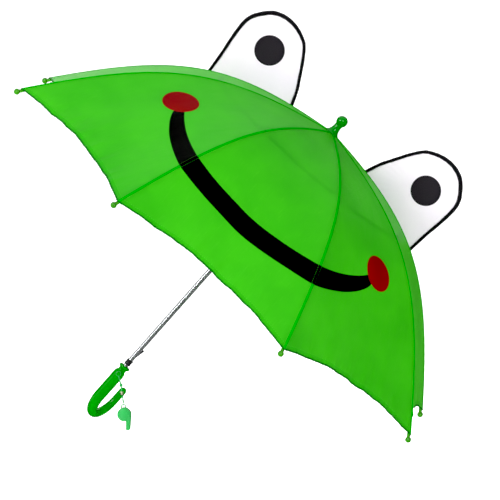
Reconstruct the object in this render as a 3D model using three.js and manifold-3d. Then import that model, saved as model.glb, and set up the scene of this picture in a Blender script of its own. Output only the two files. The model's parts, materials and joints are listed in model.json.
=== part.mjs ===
// A child's stick umbrella with eight folding ribs, open, with two eye flaps and a whistle on a cord.
// Millimetres, +Z up. The umbrella is drawn upright, with its shaft along z and the top of its fabric at
// z = 0. The whole is then leaned about the front-back axis, as a hand holds it, and set with the grip
// point of its handle at the origin. The front of the umbrella faces -Y.
import * as THREE from 'three';
import { mergeVertices } from 'three/addons/utils/BufferGeometryUtils.js';
import Module from 'manifold-3d';

const wasm = await Module();
wasm.setup();
const rad = THREE.MathUtils.degToRad;
const V = (x, y, z) => new THREE.Vector3(x, y, z);

// Driving dimensions -------------------------------------------------------------------------------------
const LEAN = rad(41.4);
const GRIP_DEPTH = 470; // grip point below the top of the fabric, along the shaft
const CLEAR = 0.35;

const RIB_COUNT = 8;
const HALF_GORE = Math.PI / RIB_COUNT;
const RIB_ARC = 458; // along the rib, from the shaft to the corner of the fabric

// The canopy's slope below level grows from shaft to hem, fastest where the stretchers push.
const SLOPE_MIDDLE = rad(28.5);
const SLOPE_SWING = rad(23);
const BEND_ARC = 210;
const BEND_SPREAD = 145;

const FABRIC = 1.2;
const SEAM_GAP = 0.4;
const CROWN_ARC = 6; // the fabric starts this far from the shaft's axis
const HEM_SCALLOP = 20;
const GORE_SAG = 0.02;

const RIB_DROP = 3.2; // rib's middle under the fabric's middle
const RIB_RADIUS = 1.2;
const HINGE_RADIUS = 8; // of the pin circles in the crown wheel and in the runner
const HINGE_DROP = 7;
const ELBOW_ARC = 180;
const ELBOW_DROP = 3; // elbow pin under the rib's middle
const ELBOW_GAP = 3; // each half of the rib stops this far from the elbow
const PIN = 0.6;
const ELBOW_PIN = 0.8;
const EYE = 1.8; // outer radius of the small eyes that turn on the pins
const TIP_BALL = 3.5;

const SHAFT = 3.5;
const SHAFT_BORE = 2.7;
const HUB = 10.5;
const HUB_HALF_HEIGHT = 3.2;
const SLOT = 2.9;

const HANDLE_TOP = 435;
const LEG = 8;
const HOOK_SPAN = 55;
const HOOK_END = 5.3;
const HOOK_TURN = rad(21); // the hook points back, turned this much towards +X
const BEND_DEPTH = 490; // depth of the centre of the handle's bend
const HOOK_RETURN = 23; // the hook's short leg rises this far from the bend
const PEG_DEPTH = 448;

const EYE_PLANE = 125; // the eye flaps stand in a plane this far behind the shaft
const EYE_THICKNESS = 3;

const WHISTLE = { x: 7.9, drop: 56.6, radius: 9.3, width: 13, wall: 1.6 };

// Colours ------------------------------------------------------------------------------------------------
const finish = (color, roughness, metalness = 0) =>
  new THREE.MeshStandardMaterial({ color, roughness, metalness });
const FABRIC_GREEN = finish(0x3fbf1c, 0.75);
const WHITE_FABRIC = finish(0xe9eaf2, 0.8);
const BLACK_CORD = finish(0x1c1a1f, 0.6);
const CHROME = finish(0xd6d8da, 0.2, 1);
const BLACK_STEEL = finish(0x26272a, 0.4, 0.8);
const BLACK_PLASTIC = finish(0x18181a, 0.5);
const HANDLE_GREEN = finish(0x009a12, 0.25);
const TIP_GREEN = finish(0x5cbf2e, 0.35);
const WHISTLE_GREEN = finish(0x3cc060, 0.3);
const CORD_GREEN = finish(0x1f9a2c, 0.8);
const BEAD_METAL = finish(0xd9cdbf, 0.35, 0.8);

// Small tools for closed shapes --------------------------------------------------------------------------
function toSolid(geometry) {
  const bare = geometry.clone();
  bare.deleteAttribute('normal');
  bare.deleteAttribute('uv');
  const merged = mergeVertices(bare, 1e-4);
  return new wasm.Manifold(new wasm.Mesh({
    numProp: 3,
    vertProperties: new Float32Array(merged.attributes.position.array),
    triVerts: new Uint32Array(merged.index.array),
  }));
}

function toGeometry(solid) {
  const mesh = solid.getMesh();
  const geometry = new THREE.BufferGeometry();
  geometry.setAttribute('position', new THREE.BufferAttribute(mesh.vertProperties, 3));
  geometry.setIndex(new THREE.BufferAttribute(mesh.triVerts, 1));
  return geometry;
}

function join(...geometries) {
  return toGeometry(geometries.map(toSolid).reduce((a, b) => a.add(b)));
}

function cut(geometry, ...tools) {
  return toGeometry(tools.map(toSolid).reduce((a, b) => a.subtract(b), toSolid(geometry)));
}

function box(x0, x1, y0, y1, z0, z1) {
  return new THREE.BoxGeometry(x1 - x0, y1 - y0, z1 - z0)
    .translate((x0 + x1) / 2, (y0 + y1) / 2, (z0 + z1) / 2);
}

function cylinderAlongY(radius, halfLength, x, z, sides = 8) {
  return new THREE.CylinderGeometry(radius, radius, 2 * halfLength, sides).translate(x, 0, z);
}

function lathe(outline, sides = 24) {
  const points = outline.map(([r, z]) => new THREE.Vector2(r, z));
  return new THREE.LatheGeometry(points, sides).rotateX(Math.PI / 2);
}

function ring(inner, outer, z0, z1, sides = 24) {
  return lathe([[inner, z0], [outer, z0], [outer, z1], [inner, z1], [inner, z0]], sides);
}

function rod(points, radius, steps, sides = 8) {
  const section = new THREE.Shape().absarc(0, 0, radius, 0, 2 * Math.PI);
  return new THREE.ExtrudeGeometry(section, {
    steps,
    curveSegments: sides / 2,
    extrudePath: new THREE.CatmullRomCurve3(points),
  });
}

// A round bar of changing radius. Each station has its centre, its radius and two unit directions across.
function taperedBar(stations, sides) {
  const positions = [];
  for (const { centre, radius, u, v } of stations) {
    for (let j = 0; j < sides; j += 1) {
      const angle = (2 * Math.PI * j) / sides;
      const p = centre.clone()
        .addScaledVector(u, radius * Math.cos(angle))
        .addScaledVector(v, radius * Math.sin(angle));
      positions.push(p.x, p.y, p.z);
    }
  }
  const first = stations[0].centre;
  const last = stations[stations.length - 1].centre;
  positions.push(first.x, first.y, first.z, last.x, last.y, last.z);
  const firstIndex = stations.length * sides;
  const lastIndex = firstIndex + 1;
  const index = [];
  for (let j = 0; j < sides; j += 1) {
    const next = (j + 1) % sides;
    for (let i = 0; i + 1 < stations.length; i += 1) {
      const a = i * sides + j;
      const b = i * sides + next;
      index.push(a, b, a + sides, b, b + sides, a + sides);
    }
    const end = (stations.length - 1) * sides;
    index.push(firstIndex, next, j, lastIndex, end + j, end + next);
  }
  const geometry = new THREE.BufferGeometry();
  geometry.setAttribute('position', new THREE.Float32BufferAttribute(positions, 3));
  geometry.setIndex(index);
  return geometry;
}

// The canopy's curve -------------------------------------------------------------------------------------
function slopeAt(arc) {
  return SLOPE_MIDDLE + SLOPE_SWING * Math.tanh((arc - BEND_ARC) / BEND_SPREAD);
}

const curveTable = [new THREE.Vector2(0, 0)];
for (let arc = 0.5; arc < RIB_ARC + 20; arc += 1) {
  const last = curveTable[curveTable.length - 1];
  curveTable.push(new THREE.Vector2(last.x + Math.cos(slopeAt(arc)), last.y - Math.sin(slopeAt(arc))));
}

// Distance from the shaft's axis and height of the fabric over a rib, and the same line moved inwards.
function ribCurve(arc, inwards = 0) {
  const whole = Math.min(Math.floor(arc), curveTable.length - 2);
  const point = curveTable[whole].clone().lerp(curveTable[whole + 1], arc - whole);
  const slope = slopeAt(arc);
  return point.sub(new THREE.Vector2(Math.sin(slope), Math.cos(slope)).multiplyScalar(inwards));
}

// Arc at which a gore's flat cross-line stands this far from the shaft's axis.
function arcAtDistance(distance) {
  const reach = distance / Math.cos(HALF_GORE);
  return curveTable.findIndex((point) => point.x >= reach);
}

function canopyHeight(x, y) {
  const towards = rad(135);
  const distance = Math.abs(x) * Math.sin(towards) - y * Math.cos(towards);
  return ribCurve(arcAtDistance(distance)).y;
}

// Everything that repeats around the shaft is drawn with x outwards from the shaft and y across.
function station(azimuth) {
  const group = new THREE.Group();
  group.rotation.z = azimuth - Math.PI / 2;
  return group;
}

const umbrella = new THREE.Group();
const add = (parent, name, geometry, material) => {
  const mesh = new THREE.Mesh(geometry, material);
  mesh.name = name;
  parent.add(mesh);
};

// Shaft, ferrule, crown ----------------------------------------------------------------------------------
const crownHinge = new THREE.Vector2(HINGE_RADIUS, -HINGE_DROP);
const elbow = ribCurve(ELBOW_ARC, RIB_DROP + ELBOW_DROP);
const runnerHinge = new THREE.Vector2(HINGE_RADIUS, 2 * elbow.y - crownHinge.y);
const RUNNER_BODY = 66;
const runnerTop = runnerHinge.y + HUB_HALF_HEIGHT;
const runnerBottom = runnerHinge.y - HUB_HALF_HEIGHT - RUNNER_BODY;

// A catch is a flat spring nose that stands out of a slot in the shaft, on its +X side.
const CATCH_OUT = 2.5;
const CATCH_HALF_THICKNESS = 0.8;
const CATCH_LENGTH = 14;
const topCatchZ = runnerBottom - 1 - CATCH_LENGTH;
const bottomCatchZ = -HANDLE_TOP + 19;

function catchNose(z) {
  const outline = new THREE.Shape([
    new THREE.Vector2(0.3, z),
    new THREE.Vector2(SHAFT, z),
    new THREE.Vector2(SHAFT + CATCH_OUT, z + CATCH_LENGTH - 2),
    new THREE.Vector2(SHAFT + CATCH_OUT, z + CATCH_LENGTH),
    new THREE.Vector2(0.3, z + CATCH_LENGTH),
  ]);
  return new THREE.ExtrudeGeometry(outline, { depth: 2 * CATCH_HALF_THICKNESS, bevelEnabled: false })
    .translate(0, 0, -CATCH_HALF_THICKNESS)
    .rotateX(Math.PI / 2);
}

function catchSlot(z) {
  const half = CATCH_HALF_THICKNESS + CLEAR;
  return box(0, SHAFT + 2, -half, half, z - 1, z + CATCH_LENGTH + 1);
}

const SHAFT_TOP = 12;
const SHAFT_END = HANDLE_TOP + 27;
const stopPinZ = runnerTop + 1.5;
add(umbrella, 'shaft_tube', cut(
  ring(SHAFT_BORE, SHAFT, -SHAFT_END, SHAFT_TOP, 16),
  catchSlot(topCatchZ),
  catchSlot(bottomCatchZ),
  cylinderAlongY(0.75 + CLEAR, 6, 0, stopPinZ),
), CHROME);
add(umbrella, 'top_catch', catchNose(topCatchZ), BLACK_STEEL);
add(umbrella, 'bottom_catch', catchNose(bottomCatchZ), BLACK_STEEL);
add(umbrella, 'stop_pin', cylinderAlongY(0.75, 5, 0, stopPinZ), BLACK_STEEL);

const FERRULE_BALL = 8;
const FERRULE_BALL_Z = 20;
function ferruleOutline() {
  const outline = [[0, SHAFT_TOP + CLEAR], [SHAFT + CLEAR, SHAFT_TOP + CLEAR], [SHAFT + CLEAR, 0.6]];
  outline.push([7.5, 0.6], [7.5, 2], [6.2, 4.5], [5.6, 8], [5.4, 12]);
  for (let angle = -45; angle <= 75; angle += 15) {
    const turn = rad(angle);
    outline.push([FERRULE_BALL * Math.cos(turn), FERRULE_BALL_Z + FERRULE_BALL * Math.sin(turn)]);
  }
  outline.push([0, FERRULE_BALL_Z + FERRULE_BALL]);
  return outline;
}
add(umbrella, 'ferrule_cap', lathe(ferruleOutline(), 18), HANDLE_GREEN);
add(umbrella, 'crown_washer', ring(SHAFT + CLEAR, 9, -3.3, -2.4), BLACK_PLASTIC);

// A hub with a slot and a cross pin for each rib or stretcher.
function slottedHub(z, halfHeight) {
  const slots = [];
  const pins = [];
  for (let k = 0; k < RIB_COUNT; k += 1) {
    const turn = (k + 0.5) * 2 * HALF_GORE;
    slots.push(box(HINGE_RADIUS - EYE - CLEAR, HUB + 1, -SLOT / 2, SLOT / 2, z - 5, z + 5).rotateZ(turn));
    pins.push(cylinderAlongY(PIN, SLOT / 2 + 0.6, HINGE_RADIUS, z, 6).rotateZ(turn));
  }
  const hub = ring(SHAFT + CLEAR, HUB, z - halfHeight, z + halfHeight, 16);
  return join(cut(hub, ...slots), ...pins);
}
add(umbrella, 'crown_wheel', slottedHub(crownHinge.y, HUB_HALF_HEIGHT), BLACK_PLASTIC);

// The runner's sleeve has a lengthwise slot, so that it passes both catches.
function runnerGeometry() {
  const inner = SHAFT + CLEAR;
  const neck = runnerHinge.y - HUB_HALF_HEIGHT + 0.5;
  const sleeve = lathe([
    [inner, runnerBottom], [8.5, runnerBottom], [8.5, runnerBottom + 4], [5.6, runnerBottom + 8],
    [5.6, neck], [inner, neck], [inner, runnerBottom],
  ], 16);
  const passage = box(
    SHAFT - 1, SHAFT + CATCH_OUT + CLEAR, -CATCH_HALF_THICKNESS - CLEAR, CATCH_HALF_THICKNESS + CLEAR,
    runnerBottom - 1, runnerTop + 1,
  );
  return cut(join(slottedHub(runnerHinge.y, HUB_HALF_HEIGHT), sleeve), passage);
}
add(umbrella, 'runner', runnerGeometry(), BLACK_PLASTIC);
const STOP_RADIUS = 4.7;
const stopRing = ring(SHAFT + CLEAR, STOP_RADIUS, -HANDLE_TOP + 3, -HANDLE_TOP + 11);
add(umbrella, 'stop_ring', stopRing, BLACK_PLASTIC);

// Ribs and stretchers ------------------------------------------------------------------------------------
// In the plane of a rib, x is outwards and z up. Flat pieces there are drawn as shapes and given a width.
function flat(outline, y0, y1) {
  const shape = new THREE.Shape(outline.map(([x, z]) => new THREE.Vector2(x, z)));
  return new THREE.ExtrudeGeometry(shape, { depth: y1 - y0, bevelEnabled: false })
    .rotateX(Math.PI / 2)
    .translate(0, y1, 0);
}

// A bar of square outline from one point of the plane to another.
function strap(from, to, halfHeight, y0, y1) {
  const along = to.clone().sub(from).normalize();
  const across = new THREE.Vector2(-along.y, along.x).multiplyScalar(halfHeight);
  const corners = [
    from.clone().sub(across), to.clone().sub(across), to.clone().add(across), from.clone().add(across),
  ];
  return flat(corners.map((p) => [p.x, p.y]), y0, y1);
}

function ribRod(from, to, start) {
  const points = start ? [start] : [];
  const count = Math.round((to - from) / 45);
  for (let i = 0; i <= count; i += 1) {
    const p = ribCurve(from + ((to - from) * i) / count, RIB_DROP);
    points.push(V(p.x, 0, p.y));
  }
  return rod(points, RIB_RADIUS, points.length + 1, 6);
}

// A strip of plate from a point in the plane to a pin, rounded around the pin.
function eyeStrap(root, pin, y0, y1) {
  const away = pin.clone().sub(root).angle();
  const outline = [];
  for (let turn = -90; turn <= 90; turn += 45) {
    const angle = away + rad(turn);
    outline.push([pin.x + EYE * Math.cos(angle), pin.y + EYE * Math.sin(angle)]);
  }
  for (const turn of [90, -90]) {
    const angle = away + rad(turn);
    outline.push([root.x + Math.cos(angle), root.y + Math.sin(angle)]);
  }
  return flat(outline, y0, y1);
}

// Two cheeks that reach from the end of a rib's rod down to the elbow pin.
function elbowCheeks(arc, inner, outer) {
  const root = ribCurve(arc, RIB_DROP);
  const bridge = strap(ribCurve(arc - 1, RIB_DROP), ribCurve(arc + 1, RIB_DROP), 1, -outer, outer);
  return [bridge, eyeStrap(root, elbow, -outer, -inner), eyeStrap(root, elbow, inner, outer)];
}

const INNER_CHEEK = [1.5, 2.4];
const OUTER_CHEEK = [2.8, 3.7];

function innerRib() {
  const start = V(crownHinge.x, 0, crownHinge.y);
  const body = join(
    ribRod(40, ELBOW_ARC - ELBOW_GAP, start),
    cylinderAlongY(EYE, RIB_RADIUS, crownHinge.x, crownHinge.y),
    ...elbowCheeks(ELBOW_ARC - ELBOW_GAP - 1, ...INNER_CHEEK),
    cylinderAlongY(ELBOW_PIN, OUTER_CHEEK[1] + 0.5, elbow.x, elbow.y, 6),
  );
  return cut(body, cylinderAlongY(PIN + CLEAR, 4, crownHinge.x, crownHinge.y, 6));
}

const RIB_END = RIB_ARC + 6;

function outerRib() {
  const body = join(
    ribRod(ELBOW_ARC + ELBOW_GAP, RIB_END),
    ...elbowCheeks(ELBOW_ARC + ELBOW_GAP + 1, ...OUTER_CHEEK),
  );
  return cut(body, cylinderAlongY(ELBOW_PIN + CLEAR, 6, elbow.x, elbow.y, 6));
}

function stretcherGeometry() {
  const along = runnerHinge.clone().sub(elbow).normalize();
  const from = elbow.clone().addScaledVector(along, 1.2);
  const to = runnerHinge.clone().addScaledVector(along, -1.2);
  const bar = rod([V(from.x, 0, from.y), V(to.x, 0, to.y)], 1.1, 1, 6);
  const body = join(
    bar,
    cylinderAlongY(EYE, 1.1, elbow.x, elbow.y),
    cylinderAlongY(EYE, 1.1, runnerHinge.x, runnerHinge.y),
  );
  return cut(
    body,
    cylinderAlongY(ELBOW_PIN + CLEAR, 4, elbow.x, elbow.y, 6),
    cylinderAlongY(PIN + CLEAR, 4, runnerHinge.x, runnerHinge.y, 6),
  );
}

// A ball on the end of a rib, with a short neck that the fabric's corner is sewn to.
function ribTip() {
  const end = ribCurve(RIB_END, RIB_DROP);
  const bore = RIB_RADIUS + CLEAR;
  const outline = [[bore, -TIP_BALL - 2], [2.2, -TIP_BALL - 2], [2.2, -3]];
  for (let angle = -40; angle <= 60; angle += 25) {
    outline.push([TIP_BALL * Math.cos(rad(angle)), TIP_BALL * Math.sin(rad(angle))]);
  }
  outline.push([0, TIP_BALL], [0, 1], [bore, 1], [bore, -TIP_BALL - 2]);
  return lathe(outline, 8)
    .rotateY(Math.PI / 2 + slopeAt(RIB_END))
    .translate(end.x, 0, end.y);
}

// Canopy -------------------------------------------------------------------------------------------------
// Middle of a gore's fabric. across runs from -1 at one seam to 1 at the other.
function gorePoint(share, across) {
  const inFromSeam = 1 - across * across;
  const arc = CROWN_ARC + (RIB_ARC - CROWN_ARC) * share - HEM_SCALLOP * inFromSeam * share * share;
  const seam = ribCurve(arc);
  const halfWidth = seam.x * Math.sin(HALF_GORE) - SEAM_GAP / Math.cos(HALF_GORE);
  const sag = GORE_SAG * 2 * halfWidth * inFromSeam;
  const slope = slopeAt(arc);
  return V(
    seam.x * Math.cos(HALF_GORE) - sag * Math.sin(slope),
    across * halfWidth,
    seam.y - sag * Math.cos(slope),
  );
}

function goreGeometry() {
  const rows = 10;
  const columns = 4;
  const step = 1e-3;
  const positions = [];
  for (const side of [1, -1]) {
    for (let i = 0; i <= rows; i += 1) {
      for (let j = 0; j <= columns; j += 1) {
        const share = i / rows;
        const across = (2 * j) / columns - 1;
        const outwards = gorePoint(share + step, across).sub(gorePoint(share - step, across));
        const sideways = gorePoint(share, across + step).sub(gorePoint(share, across - step));
        const normal = outwards.cross(sideways).normalize();
        const p = gorePoint(share, across).addScaledVector(normal, (side * FABRIC) / 2);
        positions.push(p.x, p.y, p.z);
      }
    }
  }
  const under = (rows + 1) * (columns + 1);
  const at = (i, j) => i * (columns + 1) + j;
  const index = [];
  const quad = (a, b, c, d) => index.push(a, b, c, a, c, d);
  for (let i = 0; i < rows; i += 1) {
    for (let j = 0; j < columns; j += 1) {
      quad(at(i, j), at(i + 1, j), at(i + 1, j + 1), at(i, j + 1));
      quad(under + at(i, j), under + at(i, j + 1), under + at(i + 1, j + 1), under + at(i + 1, j));
    }
    quad(at(i, 0), under + at(i, 0), under + at(i + 1, 0), at(i + 1, 0));
    quad(at(i, columns), at(i + 1, columns), under + at(i + 1, columns), under + at(i, columns));
  }
  for (let j = 0; j < columns; j += 1) {
    quad(at(0, j), at(0, j + 1), under + at(0, j + 1), under + at(0, j));
    quad(at(rows, j), under + at(rows, j), under + at(rows, j + 1), at(rows, j + 1));
  }
  const geometry = new THREE.BufferGeometry();
  geometry.setAttribute('position', new THREE.Float32BufferAttribute(positions, 3));
  geometry.setIndex(index);
  return geometry;
}

for (let k = 1; k <= RIB_COUNT; k += 1) {
  const ribStation = station((k - 0.5) * 2 * HALF_GORE - Math.PI);
  const goreStation = station(k * 2 * HALF_GORE - Math.PI);
  umbrella.add(ribStation, goreStation);
  add(ribStation, `rib_inner_${k}`, innerRib(), BLACK_STEEL);
  add(ribStation, `rib_outer_${k}`, outerRib(), BLACK_STEEL);
  add(ribStation, `stretcher_${k}`, stretcherGeometry(), CHROME);
  add(ribStation, `rib_tip_${k}`, ribTip(), TIP_GREEN);
  add(goreStation, `gore_${k}`, goreGeometry(), FABRIC_GREEN);
}

// Eye flaps ----------------------------------------------------------------------------------------------
// Outline of the flap on the +X side, from its outer foot over the top to its inner foot.
const EYE_OUTLINE = [
  [187, -62], [195, -10], [197, 20], [188, 44], [160, 65], [133, 64], [112, 52], [66, -20],
];
const FOOT_GAP = 1.4;
const EYE_STEPS = 36;

function eyeFootHeight(x) {
  return canopyHeight(x, EYE_PLANE) + FOOT_GAP;
}

function eyeEdge() {
  const points = EYE_OUTLINE.map(([x, z]) => new THREE.Vector2(x, z));
  points[0].y = eyeFootHeight(points[0].x);
  points[points.length - 1].y = eyeFootHeight(points[points.length - 1].x);
  return new THREE.SplineCurve(points).getSpacedPoints(EYE_STEPS);
}

function eyeFlap() {
  const edge = eyeEdge();
  const inner = edge[edge.length - 1].x;
  const outer = edge[0].x;
  for (let i = 1; i < 6; i += 1) {
    const x = inner + ((outer - inner) * i) / 6;
    edge.push(new THREE.Vector2(x, eyeFootHeight(x)));
  }
  return new THREE.ExtrudeGeometry(new THREE.Shape(edge), { depth: EYE_THICKNESS, bevelEnabled: false })
    .rotateX(Math.PI / 2)
    .translate(0, EYE_PLANE + EYE_THICKNESS / 2, 0);
}

// The wire that keeps a flap upright, in the piping around its edge.
const HOOP_RADIUS = 1.2;
const HOOP_GAP = 0.6;
function eyeHoop() {
  const edge = eyeEdge();
  const points = edge.map((p, i) => {
    const before = edge[Math.max(i - 1, 0)];
    const after = edge[Math.min(i + 1, edge.length - 1)];
    const along = after.clone().sub(before).normalize();
    const out = HOOP_RADIUS + HOOP_GAP;
    return V(p.x + along.y * out, EYE_PLANE, p.y - along.x * out);
  });
  return rod(points, HOOP_RADIUS, EYE_STEPS, 6);
}

// The left flap is the right one reflected, with its faces turned round again.
function reflected(geometry) {
  const copy = mergeVertices(geometry.clone().deleteAttribute('normal').deleteAttribute('uv'), 1e-4);
  copy.scale(-1, 1, 1);
  const index = copy.index.array;
  for (let i = 0; i < index.length; i += 3) {
    [index[i], index[i + 1]] = [index[i + 1], index[i]];
  }
  return copy;
}

add(umbrella, 'right_eye', eyeFlap(), WHITE_FABRIC);
add(umbrella, 'right_eye_hoop', eyeHoop(), BLACK_CORD);
add(umbrella, 'left_eye', reflected(eyeFlap()), WHITE_FABRIC);
add(umbrella, 'left_eye_hoop', reflected(eyeHoop()), BLACK_CORD);

// Handle -------------------------------------------------------------------------------------------------
function handleGeometry() {
  const hook = V(Math.sin(HOOK_TURN), Math.cos(HOOK_TURN), 0);
  const side = V(0, 0, 1).cross(hook);
  const bend = HOOK_SPAN / 2;
  const stations = [];
  const put = (reach, z, radius, turn) => {
    const heading = hook.clone().multiplyScalar(Math.sin(turn)).add(V(0, 0, -Math.cos(turn)));
    const centre = hook.clone().multiplyScalar(reach).add(V(0, 0, z));
    stations.push({ centre, radius, u: side, v: heading.clone().cross(side) });
  };
  const neck = [
    [0, 7.4], [1, 8], [3, 8], [4.4, 6.4], [6, 5.6], [8, 5.7], [10.5, 7.2], [14, LEG], [30, LEG],
  ];
  neck.forEach(([drop, radius]) => put(0, -HANDLE_TOP - drop, radius, 0));
  const turns = 10;
  for (let i = 0; i <= turns; i += 1) {
    const turn = (Math.PI * i) / turns;
    const radius = LEG + (HOOK_END - LEG) * (i / turns);
    put(bend - bend * Math.cos(turn), -BEND_DEPTH - bend * Math.sin(turn), radius, turn);
  }
  const hookEnd = -BEND_DEPTH + HOOK_RETURN;
  put(HOOK_SPAN, hookEnd - 5.5, HOOK_END, Math.PI);
  put(HOOK_SPAN, hookEnd - 2, HOOK_END * 0.8, Math.PI);
  put(HOOK_SPAN, hookEnd, HOOK_END * 0.35, Math.PI);
  const bore = ring(0, SHAFT + CLEAR, -SHAFT_END - 0.5, -HANDLE_TOP + 1);
  const dishFloor = -HANDLE_TOP - 1.6;
  const dishMouth = -HANDLE_TOP + 0.5;
  const dish = lathe([[0, dishFloor], [4, dishFloor], [6.8, dishMouth], [0, dishMouth]]);
  return { stations, bore, dish };
}
const handle = handleGeometry();
const PEG = 1.8;
const pegHole = cylinderAlongY(PEG + CLEAR, 3, 0, -PEG_DEPTH, 12).translate(0, -LEG + 0.6, 0);
const HANDLE_SIDES = 14;
add(umbrella, 'handle',
  cut(taperedBar(handle.stations, HANDLE_SIDES), handle.bore, handle.dish, pegHole), HANDLE_GREEN);

const PEG_HEAD = 2.9;
const pegOutline = [[0, 0], [PEG, 0], [PEG, 5], [PEG_HEAD, 5], [PEG_HEAD, 6.2], [1.8, 7], [0, 7.2]];
add(umbrella, 'lanyard_peg', lathe(pegOutline, 12).rotateX(Math.PI / 2)
  .translate(0, -LEG + 3, -PEG_DEPTH), HANDLE_GREEN);

// Whistle on its cord, hanging straight down from the peg once the umbrella leans -------------------------
const hanging = new THREE.Group();
hanging.position.set(0, -LEG - 1, -PEG_DEPTH);
hanging.rotation.y = -LEAN;
umbrella.add(hanging);

const CORD = 1.1;
const WHISTLE_TOP = WHISTLE.drop - WHISTLE.radius - 4.6;
const cordRoute = [
  [0, -2.9], [1.6, -9], [3.3, -16], [4.4, -24], [5.6, -33], [WHISTLE.x - 1, -WHISTLE_TOP + 1],
];
const cordLoop = new THREE.TorusGeometry(PEG + CLEAR + 0.8, 0.8, 6, 14).rotateX(Math.PI / 2);
const cordTail = rod(cordRoute.map(([x, z]) => V(x, 0, z)), CORD, 18);
add(hanging, 'whistle_cord', join(cordLoop, cordTail), CORD_GREEN);

const BEAD_DROP = 27.5;
const bead = ring(CORD + CLEAR, 2.6, -2.4, 2.4, 12).rotateY(rad(-7)).translate(4.85, 0, -BEAD_DROP);
add(hanging, 'crimp_bead', bead, BEAD_METAL);

function whistleGeometry() {
  const { x, drop, radius, width, wall } = WHISTLE;
  const half = width / 2;
  const chamber = cylinderAlongY(radius, half, x, -drop, 28);
  const mouthEnd = -drop - 22;
  const mouth = box(x + 1.2, x + radius - 0.6, -half + 1, half - 1, mouthEnd, -drop);
  const bail = new THREE.TorusGeometry(3, 0.8, 6, 14).rotateX(Math.PI / 2)
    .translate(x - 1, 0, -drop + radius + 1.2);
  const hollow = cylinderAlongY(radius - wall, half - wall, x, -drop, 28);
  const window = box(x + 1, x + radius + 2, -half + 2.4, half - 2.4, -drop - 9.5, -drop - 6);
  const channel = box(x + 3.1, x + 6.6, -half + 2.4, half - 2.4, mouthEnd - 1, -drop - 5);
  return cut(join(chamber, mouth, bail), hollow, window, channel);
}
add(hanging, 'whistle_body', whistleGeometry(), WHISTLE_GREEN);
add(hanging, 'whistle_pea', new THREE.IcosahedronGeometry(3, 1)
  .translate(WHISTLE.x - 1, 0, -WHISTLE.drop - WHISTLE.radius + WHISTLE.wall + 3.5), finish(0xb98a5a, 0.9));

// Lean the umbrella about the grip point -----------------------------------------------------------------
umbrella.position.set(0, 0, GRIP_DEPTH);
const leaned = new THREE.Group();
leaned.add(umbrella);
leaned.rotation.y = LEAN;

export default leaned;
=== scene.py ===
"""A child's frog umbrella: cloth, face, eye flaps, handle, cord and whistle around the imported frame."""

import json
from math import atan2, cos, floor, hypot, pi, radians, sin, tan, tanh

import bpy
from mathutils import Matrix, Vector


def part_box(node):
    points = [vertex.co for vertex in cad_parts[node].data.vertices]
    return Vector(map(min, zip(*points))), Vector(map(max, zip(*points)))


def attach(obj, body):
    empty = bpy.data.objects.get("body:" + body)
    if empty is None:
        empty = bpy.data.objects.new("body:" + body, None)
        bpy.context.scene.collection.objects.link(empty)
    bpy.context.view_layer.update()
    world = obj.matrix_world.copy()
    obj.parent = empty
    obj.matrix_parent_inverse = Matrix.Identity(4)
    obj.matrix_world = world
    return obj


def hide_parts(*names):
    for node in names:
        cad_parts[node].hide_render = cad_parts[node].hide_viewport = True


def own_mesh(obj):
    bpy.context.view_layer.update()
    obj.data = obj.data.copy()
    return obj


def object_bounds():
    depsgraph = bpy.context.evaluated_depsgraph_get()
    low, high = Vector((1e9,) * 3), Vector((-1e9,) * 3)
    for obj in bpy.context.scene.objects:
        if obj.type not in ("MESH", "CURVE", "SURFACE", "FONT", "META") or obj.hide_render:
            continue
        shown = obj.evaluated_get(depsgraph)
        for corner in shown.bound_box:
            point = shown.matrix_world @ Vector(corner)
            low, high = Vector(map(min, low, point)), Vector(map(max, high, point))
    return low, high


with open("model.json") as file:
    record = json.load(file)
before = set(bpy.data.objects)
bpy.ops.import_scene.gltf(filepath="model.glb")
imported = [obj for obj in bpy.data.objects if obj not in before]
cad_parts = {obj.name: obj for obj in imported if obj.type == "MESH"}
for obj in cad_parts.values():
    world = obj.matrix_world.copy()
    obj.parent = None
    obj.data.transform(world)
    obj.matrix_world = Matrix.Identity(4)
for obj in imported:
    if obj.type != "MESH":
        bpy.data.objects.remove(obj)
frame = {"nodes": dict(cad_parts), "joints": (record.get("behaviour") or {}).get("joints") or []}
cad_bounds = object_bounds()

# --- Camera
MM = 0.001
AIM = Vector((0.1968, 0.0, 0.1892))
DISTANCE = 6.918
LENS = 360.25
CLIP_END = 250
VIEW_TURN = radians(5.09)
VIEW_RISE = radians(4.84)
away = Vector((sin(VIEW_TURN) * cos(VIEW_RISE), -cos(VIEW_TURN) * cos(VIEW_RISE), sin(VIEW_RISE)))
camera = bpy.data.objects.new("camera", bpy.data.cameras.new("camera"))
camera.data.lens = LENS
camera.data.clip_end = CLIP_END
camera.location = AIM + away * DISTANCE
camera.rotation_euler = (-away).to_track_quat("-Z", "Y").to_euler()
bpy.context.scene.collection.objects.link(camera)
bpy.context.scene.camera = camera

# --- The umbrella's own frame: the shaft runs along z, the cloth's apex is at 0, the front faces -y. In mm.
RIBS = 8
HALF_GORE = pi / RIBS
HINGE_DROP = 7
PEG_DEPTH = 448
joints = {joint["name"]: Vector(joint["pos_m"]) for joint in frame["joints"] if "pos_m" in joint}
rib_hinges = [joints["canopy_fold"]] + [joints[f"rib_{k}_fold"] for k in range(2, RIBS + 1)]
elbows = [joints[f"rib_{k}_elbow"] for k in range(1, RIBS + 1)]
crown = sum(rib_hinges, Vector()) / RIBS
UP = (crown - sum(elbows, Vector()) / RIBS).normalized()
BACK = Vector((0, 1, 0))
RIGHT = BACK.cross(UP)
APEX = crown + UP * HINGE_DROP * MM
PIVOT = joints["whistle_swing"]


def leaned(p):
    """A direction in the umbrella's own frame, as one in the row's."""
    return RIGHT * p[0] + BACK * p[1] + UP * p[2]


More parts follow.
